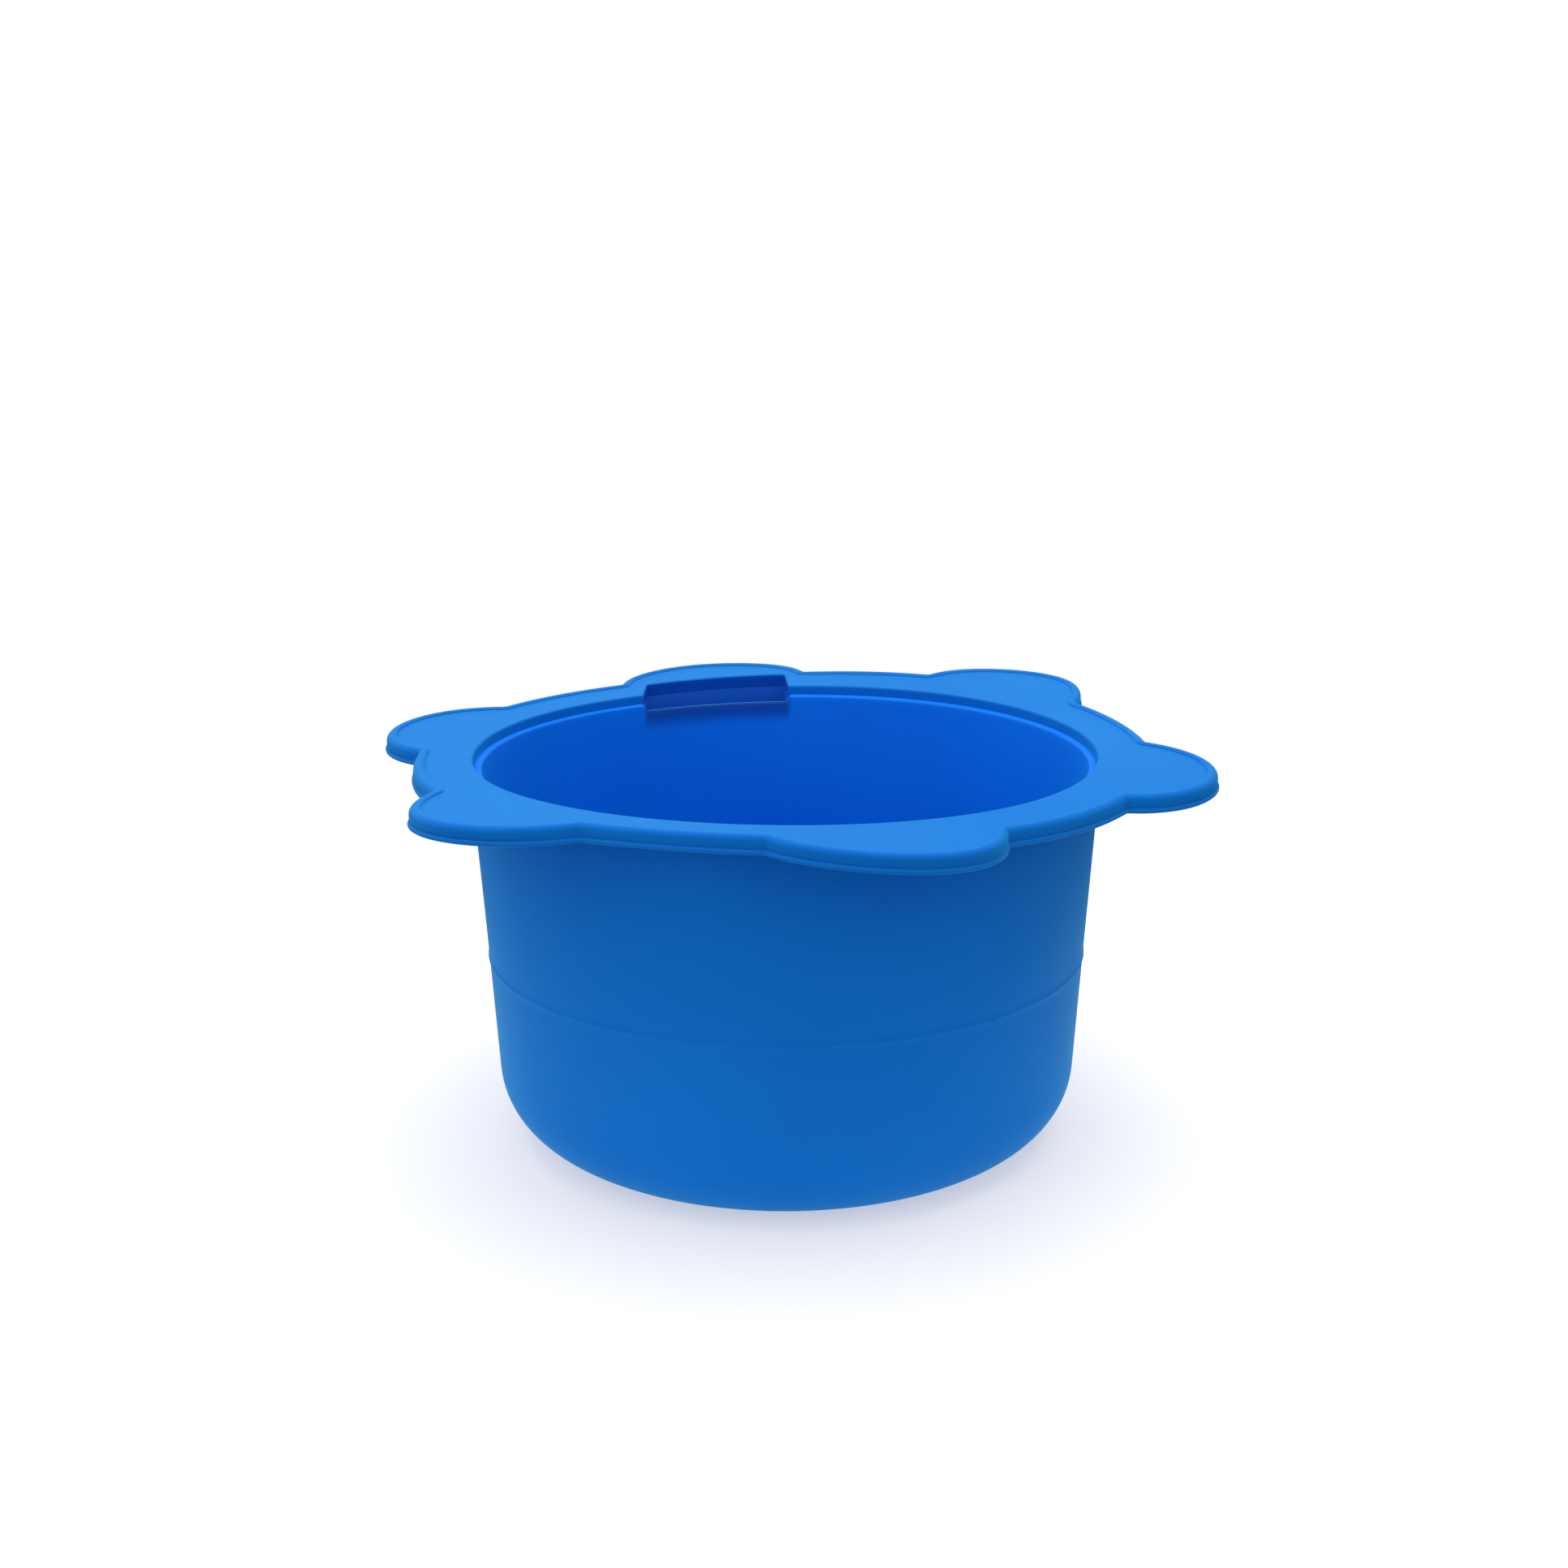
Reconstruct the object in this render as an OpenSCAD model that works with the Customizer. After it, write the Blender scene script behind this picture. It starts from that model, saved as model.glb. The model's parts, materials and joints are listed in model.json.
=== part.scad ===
// Paw washer cup: a soft silicone cup with a six-eared brim, and a bristle insert that
// lifts out for rinsing. Millimetres, +Z up, origin at the centre of the base.
// The ear with the finger notch points along +Y.

/* [Cup] */
// Radius of the mouth, at the hole in the rim ring
mouth_r = 49.6; // [48:0.2:50]
// Outer radius of the leaning wall, carried up to the flat top
wall_top_r = 50.3; // [50.1:0.1:51]
// Height from the base to the flat top of the rim ring
cup_h = 63; // [60:0.5:75]
// Thickness of the cup's wall above the seat
wall_t = 1.9; // [1.6:0.1:2.2]
// Lean of the wall from vertical, in degrees
draft = 3.3; // [2:0.1:4]
// Radius of the round edge between the wall and the base
base_round = 11.6; // [11:0.2:13]
// Thickness of the cup's floor
floor_t = 3; // [2.5:0.1:3.4]

/* [Brim] */
// Radius of the brim between its ears
disc_r = 58.5; // [58.5:0.1:61]
// Number of ears around the brim
ear_count = 6; // [5:1:7]
// Distance from the cup's axis to the tip of an ear
ear_tip_r = 68.2; // [67:0.2:70]
// Radius of an ear's round outline
ear_r = 17.4; // [16:0.2:19]
// Thickness of the rim ring without its bead
ring_t = 1.6; // [1.4:0.1:2.2]
// Thickness of the lower brim that the rim ring lies on
brim_t = 0.8; // [0.7:0.1:1.1]
// How far the lower brim stands out past the rim ring
brim_proud = 0.25; // [0.1:0.05:0.5]
// Width of the bead that follows the brim's edge
bead_w = 2; // [1.5:0.1:2.5]
// Height of the bead above the flat top
bead_h = 0.4; // [0.3:0.1:0.8]

/* [Finger pocket] */
// Width of the notch that opens the mouth's edge to the pocket
notch_w = 27; // [24:0.5:27]
// How far the pocket reaches outwards from the mouth's edge
notch_reach = 8.3; // [7:0.1:8.4]
// How far the cup's wall dips below the flat top inside the notch
wall_dip = 3; // [2.8:0.1:4]
// Depth of the pocket below the flat top
pocket_depth = 6.5; // [6:0.1:9]
// Thickness of the pocket's walls and floor
pocket_wall = 1.3; // [1:0.1:1.5]

/* [Insert] */
// Height of the seat that the insert hangs on, above the base
seat_z = 30; // [29:0.5:34]
// Width of the seat
seat_w = 1.4; // [1.2:0.1:1.8]
// Gap between the insert and the cup
insert_gap = 0.4; // [0.3:0.05:0.6]
// Thickness of the insert's sleeve and of its floor
sleeve_t = 1.6; // [1.4:0.1:1.8]
// Height of the insert's floor above the base, which leaves room for grit below it
insert_floor_z = 11; // [10.6:0.1:12]
// Thickness of the collar that rests on the seat
collar_t = 2.4; // [2:0.1:3]
// Width of the collar
collar_w = 4.4; // [4:0.1:5]
// Width of a lift tab along the collar
tab_w = 14; // [10:1:18]
// Height of a lift tab above the collar
tab_h = 4; // [3:0.5:5]
// Thickness of a lift tab
tab_t = 2; // [1.6:0.1:2.4]

/* [Bristles] */
// Thickness of the mat that the floor bristles stand on
mat_t = 1; // [0.8:0.1:1.2]
// Number of bristles in each ring on the wall
ring_bristles = 24; // [18:1:26]
// Length of a wall bristle
wall_bristle_l = 14; // [10:0.5:14]
// Length of a floor bristle
floor_bristle_l = 7; // [5:0.5:8]
// Radius of a bristle at its root
bristle_root_r = 1.6; // [1.3:0.1:1.7]
// Radius of a bristle at the start of its round tip
bristle_tip_r = 0.85; // [0.7:0.05:1]
// Distance between the rings of floor bristles
floor_pitch = 8.2; // [7.5:0.1:8.4]
// Number of rings of floor bristles around the middle one
floor_rings = 3; // [2:1:3]
// Radius of the drain holes in the insert's floor
drain_r = 1.5; // [1.2:0.1:1.6]

/* [Hidden] */

$fn = 96;
cup_blue = [0.09, 0.42, 0.80];
insert_blue = [0.32, 0.66, 0.90];

ring_z = cup_h - ring_t;                  // the rim ring lies on the lower brim here
pocket_z = cup_h - pocket_depth;          // top of the pocket's floor
ear_axis_r = ear_tip_r - ear_r;           // centre of an ear's round outline
seat_depth = wall_t + seat_w;             // wall thickness below the seat
insert_in = seat_depth + insert_gap;      // from the cup's outside to the insert's
bristles_in = insert_in + sleeve_t;       // from the cup's outside to the sleeve's inside
mat_z = insert_floor_z + sleeve_t;        // top of the insert's floor
bristle_ring_h = (seat_z - mat_z) / 3;    // share of the sleeve's height that a ring has
mat_r = (floor_rings + 0.5) * floor_pitch;
drain_count = 6;
drain_pcr = 1.5 * floor_pitch;            // drain holes lie between bristle rings
tip_steps = 3;
past = 1;                                 // cutting bodies run this far past a face

// Radius of the leaning wall at height z, a distance of inset inside the cup's outside
function wall_r(z, inset) = wall_top_r - inset / cos(draft) - (cup_h - z) * tan(draft);

// Half the section of a tub: leaning wall, round bottom edge, flat bottom, solid inside
module tub_section(inset, bottom_z, round_r, top_z) {
    mid_z = bottom_z + round_r;
    mid_r = wall_r(mid_z, inset) - round_r / cos(draft);
    touch_r = mid_r + round_r * cos(draft);
    touch_z = mid_z - round_r * sin(draft);
    translate([mid_r, mid_z]) circle(r = round_r);
    polygon([[0, bottom_z], [mid_r, bottom_z], [touch_r, touch_z],
             [wall_r(top_z, inset), top_z], [0, top_z]]);
}

// Half the section of a leaning band between two heights
module band_section(outer_inset, inner_inset, bottom_z, top_z)
    polygon([[wall_r(bottom_z, inner_inset), bottom_z],
             [wall_r(bottom_z, outer_inset), bottom_z],
             [wall_r(top_z, outer_inset), top_z],
             [wall_r(top_z, inner_inset), top_z]]);

// The brim's outline: a disc with round ears, drawn in by inset
module brim_outline(inset) {
    circle(r = disc_r - inset, $fn = 180);
    for (k = [0 : ear_count - 1])
        rotate(90 + k * 360 / ear_count)
            translate([ear_axis_r, 0]) circle(r = ear_r - inset);
}

// The finger notch's outline with its round outer side, widened all round by grow
module notch_outline(grow)
    intersection() {
        circle(r = mouth_r + notch_reach + grow, $fn = 180);
        translate([-notch_w / 2 - grow, mouth_r / 2]) square([notch_w + 2 * grow, mouth_r]);
    }

// The finger notch as a cutting body, down to a depth below the flat top
module finger_notch(depth)
    translate([0, 0, cup_h - depth])
        linear_extrude(depth + past) notch_outline(0);

// A soft tapered bristle that stands on z = 0 and has a round tip
module bristle(length) {
    tip_z = length - bristle_tip_r;
    round_tip = [for (k = [1 : tip_steps])
        [bristle_tip_r * cos(k * 90 / tip_steps), tip_z + bristle_tip_r * sin(k * 90 / tip_steps)]];
    rotate_extrude($fn = 24)
        polygon(concat([[0, 0], [bristle_root_r, 0], [bristle_tip_r, tip_z]], round_tip));
}

// One ring of bristles that stand square on the sleeve's inside and point at the axis
module bristle_ring(level, turn) {
    root_z = mat_z + (level + 0.5) * bristle_ring_h;
    sleeve_r = wall_r(root_z, bristles_in);
    root_r = sleeve_r - pow(bristle_root_r, 2) / (2 * sleeve_r);   // clear of the round sleeve
    for (k = [0 : ring_bristles - 1])
        rotate(turn + k * 360 / ring_bristles)
            translate([root_r, 0, root_z])
                rotate([0, draft - 90, 0]) bristle(wall_bristle_l);
}

module drain_holes()
    for (k = [0 : drain_count - 1])
        rotate(k * 360 / drain_count)
            translate([drain_pcr, 0, insert_floor_z - past])
                cylinder(r = drain_r, h = sleeve_t + mat_t + 2 * past, $fn = 32);

module cup_shell() color(cup_blue) difference() {
    rotate_extrude() tub_section(0, 0, base_round, ring_z);
    rotate_extrude() tub_section(seat_depth, floor_t, base_round - seat_depth, seat_z);
    rotate_extrude()
        polygon([[0, seat_z], [wall_r(seat_z, wall_t), seat_z],
                 [wall_r(cup_h, wall_t), cup_h], [0, cup_h]]);
    finger_notch(wall_dip);
}

module lower_brim() color(cup_blue) difference() {
    translate([0, 0, ring_z - brim_t])
        linear_extrude(brim_t) brim_outline(-brim_proud);
    rotate_extrude() tub_section(0, 0, base_round, cup_h);
    finger_notch(pocket_depth);
}

module rim_ring() color(cup_blue) difference() {
    translate([0, 0, ring_z]) union() {
        linear_extrude(ring_t) brim_outline(0);
        linear_extrude(ring_t + bead_h) difference() {
            brim_outline(0);
            brim_outline(bead_w);
        }
    }
    translate([0, 0, ring_z - past]) cylinder(r = mouth_r, h = ring_t + 2 * past);
    finger_notch(pocket_depth);
}

module finger_pocket() color(cup_blue) difference() {
    translate([0, 0, pocket_z - pocket_wall])
        linear_extrude(ring_z - brim_t - pocket_z + pocket_wall) notch_outline(pocket_wall);
    rotate_extrude() tub_section(0, 0, base_round, cup_h);
    finger_notch(pocket_depth);
}

module insert_collar() color(insert_blue)
    translate([0, 0, seat_z]) difference() {
        collar_r = wall_r(seat_z, wall_t) - insert_gap;
        cylinder(r = collar_r, h = collar_t);
        translate([0, 0, -past]) cylinder(r = collar_r - collar_w, h = collar_t + 2 * past);
    }

module insert_sleeve() color(insert_blue)
    rotate_extrude() band_section(insert_in, bristles_in, insert_floor_z, seat_z);

module insert_floor() color(insert_blue) difference() {
    rotate_extrude()
        polygon([[0, insert_floor_z], [wall_r(insert_floor_z, bristles_in), insert_floor_z],
                 [wall_r(mat_z, bristles_in), mat_z], [0, mat_z]]);
    drain_holes();
}

module wall_bristles_low() color(insert_blue) bristle_ring(0, 0);

module wall_bristles_middle() color(insert_blue) bristle_ring(1, 180 / ring_bristles);

module wall_bristles_top() color(insert_blue) bristle_ring(2, 0);

module floor_bristles() color(insert_blue) difference() {
    translate([0, 0, mat_z]) {
        cylinder(r = mat_r, h = mat_t);
        translate([0, 0, mat_t]) bristle(floor_bristle_l);
        for (ring = [1 : floor_rings], k = [0 : 6 * ring - 1])
            rotate(k * 60 / ring)
                translate([ring * floor_pitch, 0, mat_t]) bristle(floor_bristle_l);
    }
    drain_holes();
}

module lift_tabs() color(insert_blue)
    for (side = [0, 180])
        rotate(side)
            translate([wall_r(seat_z, wall_t) - insert_gap - collar_w + tab_t / 2, 0,
                       seat_z + collar_t])
                rotate([90, 0, 90]) linear_extrude(tab_t) intersection() {
                    translate([0, tab_h - tab_w / 2]) circle(d = tab_w);
                    translate([-tab_w / 2, 0]) square([tab_w, tab_h]);
                }

cup_shell();
lower_brim();
rim_ring();
finger_pocket();
insert_collar();
insert_sleeve();
insert_floor();
wall_bristles_low();
wall_bristles_middle();
wall_bristles_top();
floor_bristles();
lift_tabs();
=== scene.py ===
import json
import math
import random

import bmesh
import bpy
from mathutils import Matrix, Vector


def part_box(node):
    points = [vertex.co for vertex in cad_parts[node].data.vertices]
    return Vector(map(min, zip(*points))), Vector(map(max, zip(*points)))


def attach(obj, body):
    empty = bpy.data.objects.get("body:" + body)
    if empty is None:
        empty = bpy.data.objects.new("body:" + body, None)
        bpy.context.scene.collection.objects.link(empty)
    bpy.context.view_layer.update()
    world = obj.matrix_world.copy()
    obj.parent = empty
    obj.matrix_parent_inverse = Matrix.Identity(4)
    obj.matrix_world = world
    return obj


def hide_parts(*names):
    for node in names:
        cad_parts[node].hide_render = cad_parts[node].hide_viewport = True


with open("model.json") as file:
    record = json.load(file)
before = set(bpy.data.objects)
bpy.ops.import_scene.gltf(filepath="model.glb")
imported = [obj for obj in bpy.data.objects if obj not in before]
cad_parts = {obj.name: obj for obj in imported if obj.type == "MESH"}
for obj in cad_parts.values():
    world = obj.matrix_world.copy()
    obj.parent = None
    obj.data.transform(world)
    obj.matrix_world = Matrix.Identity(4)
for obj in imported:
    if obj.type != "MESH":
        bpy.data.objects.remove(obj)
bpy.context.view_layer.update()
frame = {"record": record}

# Looks of the paw washer cup. Lengths below are in millimetres, and meshes are scaled to metres.
MM = 0.001
MOUNTS = {mount["name"]: mount for mount in frame["record"]["mounts"]}


def mm_box(node):
    """Lowest and highest corner of a CAD node, in millimetres."""
    low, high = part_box(node)
    return low / MM, high / MM


def sind(a):
    return math.sin(math.radians(a))


def cosd(a):
    return math.cos(math.radians(a))


# ---------------------------------------------------------------- sizes, from the frame
RING_LOW, RING_HIGH = mm_box("rim_ring")
BRIM_LOW, BRIM_HIGH = mm_box("lower_brim")
POCKET_LOW, POCKET_HIGH = mm_box("finger_pocket")
COLLAR_LOW, COLLAR_HIGH = mm_box("insert_collar")
SLEEVE_LOW, SLEEVE_HIGH = mm_box("insert_sleeve")
FLOOR_LOW, FLOOR_HIGH = mm_box("insert_floor")
MAT_LOW, MAT_HIGH = mm_box("floor_bristles")
TABS_LOW, TABS_HIGH = mm_box("lift_tabs")

MOUTH_R = MOUNTS["mouth"]["dims"]["r_mm"]
TOP_Z = MOUNTS["rim_top"]["pos_m"][2] / MM          # the brim's flat top
UNDER_Z = BRIM_LOW.z                                # underside of the brim
RING_Z = RING_LOW.z                                 # joint between rim ring and lower brim
CREST_Z = RING_HIGH.z                               # top of the bead
TIP_R = RING_HIGH.y                                 # tip of an ear
LIP = BRIM_HIGH.y - TIP_R                           # the lower brim stands out this far

EARS = 6
DISC_R = 58.5
EAR_R = 17.4
CORNER_R = 0.8
BEAD_W = 2.0

DRAFT = 3.3
WALL_TOP_R = 50.3
BASE_ROUND = 11.6
WALL_T = 1.9
SEAT_W = 1.4
SEAT_Z = COLLAR_LOW.z
CUP_FLOOR_Z = 3.0
LINE_Z = SEAT_Z                                     # the seat shows outside as a faint line
LINE_H = 0.15
LINE_W = 0.45

WALL_DIP = 3.0                                      # the wall is lower inside the notch
DIP_Z = TOP_Z - WALL_DIP
POCKET_WALL = 1.3
POCKET_Z = POCKET_LOW.z + POCKET_WALL
NOTCH_HALF_W = POCKET_HIGH.x - POCKET_WALL
NOTCH_R = POCKET_HIGH.y - POCKET_WALL
NOTCH_TURN = -0.7                                   # the soft notch sits this far off its ear
NOTCH_SKEW = 2.5                                    # its outer end at -X lies this far inwards

INSERT_GAP = 0.4
SLEEVE_T = 1.6
MAT_T = 1.0
INSERT_IN = WALL_T + SEAT_W + INSERT_GAP            # insets of the sleeve's two sides
BRISTLES_IN = INSERT_IN + SLEEVE_T
COLLAR_W = 4.4
WALL_RINGS = 3
RING_BRISTLES = 24
WALL_BRISTLE_L = 14.0
FLOOR_PITCH = 8.2
FLOOR_RINGS = 3
DRAINS = 6
DRAIN_R = 1.5
DRAIN_RING_R = 1.5 * FLOOR_PITCH
BRISTLE_ROOT_R = 1.6
BRISTLE_TIP_R = 0.85


def wall_r(z, inset=0.0):
    """Radius of the leaning wall at height z, inset inside the cup's outside."""
    return WALL_TOP_R - inset / cosd(DRAFT) - (TOP_Z - z) * sind(DRAFT) / cosd(DRAFT)


# ---------------------------------------------------------------- outlines of brim and mouth
def arc(centre, radius, start, end, steps, facing=1):
    """Points (x, y, nx, ny) along an arc, without its last one. facing is -1 on a hollow stretch."""
    points = []
    for k in range(steps):
        a = start + (end - start) * k / steps
        points.append((centre[0] + radius * cosd(a), centre[1] + radius * sind(a),
                       facing * cosd(a), facing * sind(a)))
    return points


def line(start, end, steps):
    """Points along a flank parallel to X, without the last one."""
    return [(start[0] + (end[0] - start[0]) * k / steps, start[1], 0.0, 1.0) for k in range(steps)]


HALF_PITCH = 180.0 / EARS
EAR_STEPS, CORNER_STEPS, DISC_STEPS = 25, 5, 12
HALF_STEPS = EAR_STEPS + CORNER_STEPS + DISC_STEPS
BACK_STEPS, BACK_CORNER_STEPS, FLANK_STEPS, EDGE_STEPS = 14, 6, 6, 5
MOUTH_STEPS = HALF_STEPS - BACK_STEPS - BACK_CORNER_STEPS - FLANK_STEPS - EDGE_STEPS


def ear_half():
    """Half of an ear along +X, from its tip to halfway to the next ear."""
    axis_r = TIP_R - EAR_R
    from_axis, from_ear = DISC_R + CORNER_R, EAR_R + CORNER_R
    corner_a = math.degrees(math.acos((axis_r ** 2 + from_axis ** 2 - from_ear ** 2)
                                      / (2 * axis_r * from_axis)))
    corner = (from_axis * cosd(corner_a), from_axis * sind(corner_a))
    ear_a = math.degrees(math.atan2(corner[1], corner[0] - axis_r))
    return (arc((axis_r, 0), EAR_R, 0, ear_a, EAR_STEPS)
            + arc(corner, CORNER_R, ear_a - 180, corner_a - 180, CORNER_STEPS, -1)
            + arc((0, 0), DISC_R, corner_a, HALF_PITCH, DISC_STEPS)
            + [(DISC_R * cosd(HALF_PITCH), DISC_R * sind(HALF_PITCH),
                cosd(HALF_PITCH), sind(HALF_PITCH))])


def notch_half():
    """Half of the mouth's edge at the notched ear, from the notch's middle outwards."""
    back_r, edge_r = 1.0, 0.6
    back_y = NOTCH_HALF_W - back_r
    back_x = math.sqrt((NOTCH_R - back_r) ** 2 - back_y ** 2)
    back_a = math.degrees(math.atan2(back_y, back_x))
    edge_y = NOTCH_HALF_W + edge_r
    edge_x = math.sqrt((MOUTH_R + edge_r) ** 2 - edge_y ** 2)
    edge_a = math.degrees(math.atan2(edge_y, edge_x))
    return (arc((0, 0), NOTCH_R, 0, back_a, BACK_STEPS)
            + arc((back_x, back_y), back_r, back_a, 90, BACK_CORNER_STEPS)
            + line((back_x, NOTCH_HALF_W), (edge_x, NOTCH_HALF_W), FLANK_STEPS)
            + arc((edge_x, edge_y), edge_r, -90, edge_a - 180, EDGE_STEPS, -1)
            + arc((0, 0), MOUTH_R, edge_a, HALF_PITCH, MOUTH_STEPS)
            + [(MOUTH_R * cosd(HALF_PITCH), MOUTH_R * sind(HALF_PITCH),
                cosd(HALF_PITCH), sind(HALF_PITCH))])


def mouth_half(outline):
    """Half of the mouth's edge at a plain ear, in line with the brim's own points."""
    points = []
    for x, y, nx, ny in outline:
        a = math.degrees(math.atan2(y - 2.5 * ny, x - 2.5 * nx))
        points.append((MOUTH_R * cosd(a), MOUTH_R * sind(a), cosd(a), sind(a)))
    return points


def turned(point, angle):
    x, y, nx, ny = point
    c, s = cosd(angle), sind(angle)
    return (x * c - y * s, x * s + y * c, nx * c - ny * s, nx * s + ny * c)


def all_round(halves):
    """Closes half outlines, one for each ear, into one loop that starts before the +Y ear."""
    loop = []
    for k, half in enumerate(halves):
        mirrored = [(x, -y, nx, -ny) for x, y, nx, ny in half[:0:-1]]
        angle = 90 + k * 360 / EARS
        loop += [turned(p, angle) for p in mirrored + half[:-1]]
    return loop


FLANK_END = BACK_STEPS + BACK_CORNER_STEPS + FLANK_STEPS


def limit(t):
    return max(0.0, min(1.0, t))


def smooth(t):
    return limit(t) ** 2 * (3 - 2 * limit(t))


def shifted_notch(loop):
    """Moves the notch a little sideways, as it lies in the soft brim."""
    result = []
    for k, point in enumerate(loop):
        from_notch = abs(k - HALF_STEPS) - FLANK_END - EDGE_STEPS
        x, y, nx, ny = turned(point, -NOTCH_TURN * (1 - limit(from_notch / MOUTH_STEPS)))
        if from_notch < 0:
            depth = limit((math.hypot(x, y) - MOUTH_R) / (NOTCH_R - MOUTH_R))
            x += depth * NOTCH_SKEW * (1 - x / NOTCH_HALF_W) / 2
        result.append((x, y, nx, ny))
    return result


EAR = ear_half()
BRIM = all_round([EAR] * EARS)
MOUTH = shifted_notch(all_round([notch_half()] + [mouth_half(EAR)] * (EARS - 1)))
COLUMNS = [math.atan2(y, x) for x, y, _, _ in MOUTH]

# 1 on the columns inside the notch, falling to 0 round the notch's two edges
NOTCH_SHARE = [1 - limit((abs(k - HALF_STEPS) - FLANK_END) / EDGE_STEPS)
               for k in range(len(MOUTH))]


# ---------------------------------------------------------------- rows of points
def brim_row(inset, z):
    """The brim's outline, moved inwards."""
    return [(x - nx * inset, y - ny * inset, z) for x, y, nx, ny in BRIM]


def mouth_row(outset, z):
    """The mouth's edge with its notch, moved outwards into the silicone."""
    return [(x + nx * outset, y + ny * outset, z) for x, y, nx, ny in MOUTH]


def round_row(radius, z):
    """A circle with a point on each column."""
    return [(radius * math.cos(a), radius * math.sin(a), z) for a in COLUMNS]


def between(first, last, count):
    """Rows spread evenly between two rows."""
    rows = []
    for k in range(1, count + 1):
        t = k / (count + 1)
        rows.append([tuple(a + (b - a) * t for a, b in zip(p, q)) for p, q in zip(first, last)])
    return rows


def outside_row(outset, z):
    """The outside of the cup's wall, and of the finger pocket where it hangs on the wall."""
    row = []
    for (x, y, nx, ny), a, share in zip(MOUTH, COLUMNS, NOTCH_SHARE):
        if share == 1:
            out = POCKET_WALL + outset
            row.append((x + nx * out, y + ny * out, z))
        else:
            r = wall_r(z) + outset
            row.append((r * math.cos(a), r * math.sin(a), z))
    for centre in (HALF_STEPS - FLANK_END, HALF_STEPS + FLANK_END):
        step = 1 if centre > HALF_STEPS else -1
        first, last = row[centre], row[centre + step * EDGE_STEPS]
        for k in range(1, EDGE_STEPS):
            t = k / EDGE_STEPS
            row[centre + step * k] = tuple(p + (q - p) * t for p, q in zip(first, last))
    return row


def even_row(radius, z, columns=192):
    """A circle with evenly spaced points, for the round insert."""
    return [(radius * cosd(360 * k / columns), radius * sind(360 * k / columns), z)
            for k in range(columns)]


# How the soft brim lies: it starts to bend at BEND_R, and its flat part lies SETTLE below the
# moulded height. A wave gives its number round the brim, its height at BEND_R + BEND_SPAN and
# the angle of a crest. LIFT_WAVES lift and sink the brim, STRETCH_WAVES move it outwards, and
# TURN_WAVES turn it round the axis, in degrees. A pull lifts or turns one stretch: it gives the
# angle of the stretch, its width, and the lift or turn. No point rises by more than LIFT_LIMIT.
BEND_R = 46.0
BEND_SPAN = 13.4
SETTLE = 0.6
LIFT_LIMIT = 2.5
LIFT_WAVES = [(1, 0.75, 80), (2, 0.85, 48), (3, 0.45, 15), (4, 0.15, -35)]
STRETCH_WAVES = [(0, 0.35, 0), (1, 1.6, 78), (2, 0.55, 40), (3, 0.6, -44)]
TURN_WAVES = [(0, 0.35, 0), (1, 0.5, -85), (2, 0.35, 28)]
LIFT_PULLS = [(207, 20, 0.4), (328, 20, 0.5)]
TURN_PULLS = [(243, 14, -3.6), (75, 9, -2.2), (46, 9, 2.0), (14, 8, 1.0)]
BEND_LOW_Z = 38.0                                   # the wall below this height keeps its shape


def wave_at(angle, waves):
    """Sum of the waves at an angle. Wave 0 is the same all round."""
    return sum(height * cosd(number * (angle - crest)) for number, height, crest in waves)


def pull_at(angle, pulls):
    """Sum of the pulls at an angle. A pull fades out over about its width to both sides."""
    total = 0.0
    for centre, width, amount in pulls:
        apart = (angle - centre + 180) % 360 - 180
        total += amount * math.exp(-(apart / width) ** 2)
    return total


def relaxed(point):
    """Where a point of the moulded shape lies on the soft cup."""
    x, y, z = point
    r = math.hypot(x, y)
    a = math.degrees(math.atan2(y, x))
    bend = max(0.0, r - BEND_R) / BEND_SPAN
    free = smooth((z - BEND_LOW_Z) / (UNDER_Z - BEND_LOW_Z))
    lift = (wave_at(a, LIFT_WAVES) + pull_at(a, LIFT_PULLS)) * bend
    if lift > 0:
        lift /= (1 + (lift / LIFT_LIMIT) ** 4) ** 0.25
    r += wave_at(a, STRETCH_WAVES) * bend * free
    turn = (wave_at(a, TURN_WAVES) + pull_at(a, TURN_PULLS)) * bend * free
    return (r * cosd(a + turn), r * sind(a + turn), z + (lift - SETTLE) * free)


# ---------------------------------------------------------------- meshes
def add_rows(bm, rows, closed=False, look=None):
    """Skins rows of points with quads. A row of one point is a pole. Returns the rows' verts.

    look gives the material index of the face above a row at a column."""
    verts = [[bm.verts.new(Vector(p) * MM) for p in row] for row in rows]
    pairs = list(zip(verts, verts[1:]))
    if closed:
        pairs.append((verts[-1], verts[0]))
    for level, (low, high) in enumerate(pairs):
        count = max(len(low), len(high))
        for k in range(count):
            after = (k + 1) % count
            if len(low) == 1:
                face = bm.faces.new((low[0], high[after], high[k]))
            elif len(high) == 1:
                face = bm.faces.new((low[k], low[after], high[0]))
            else:
                face = bm.faces.new((low[k], low[after], high[after], high[k]))
            if look:
                face.material_index = look(level, k)
    return verts


def add_bar(bm, sections, look=None):
    """Skins a row of closed sections and closes both ends."""
    verts = add_rows(bm, sections, look=look)
    bm.faces.new(verts[0])
    bm.faces.new(verts[-1])


def finish_piece(bm, name, body, materials, slot, *nodes):
    """Turns a bmesh into a smooth piece that rides on a body and stands for CAD nodes."""
    bmesh.ops.recalc_face_normals(bm, faces=bm.faces)
    mesh = bpy.data.meshes.new(name)
    bm.to_mesh(mesh)
    bm.free()
    mesh.polygons.foreach_set("use_smooth", [True] * len(mesh.polygons))
    for material in materials if isinstance(materials, list) else [materials]:
        mesh.materials.append(material)
    piece = bpy.data.objects.new(name, mesh)
    bpy.context.scene.collection.objects.link(piece)
    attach(piece, body)
    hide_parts(*nodes)
    return piece


def quarter(steps):
    """Angles of a quarter turn, without 0."""
    return [90.0 * k / steps for k in range(1, steps + 1)]


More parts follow.
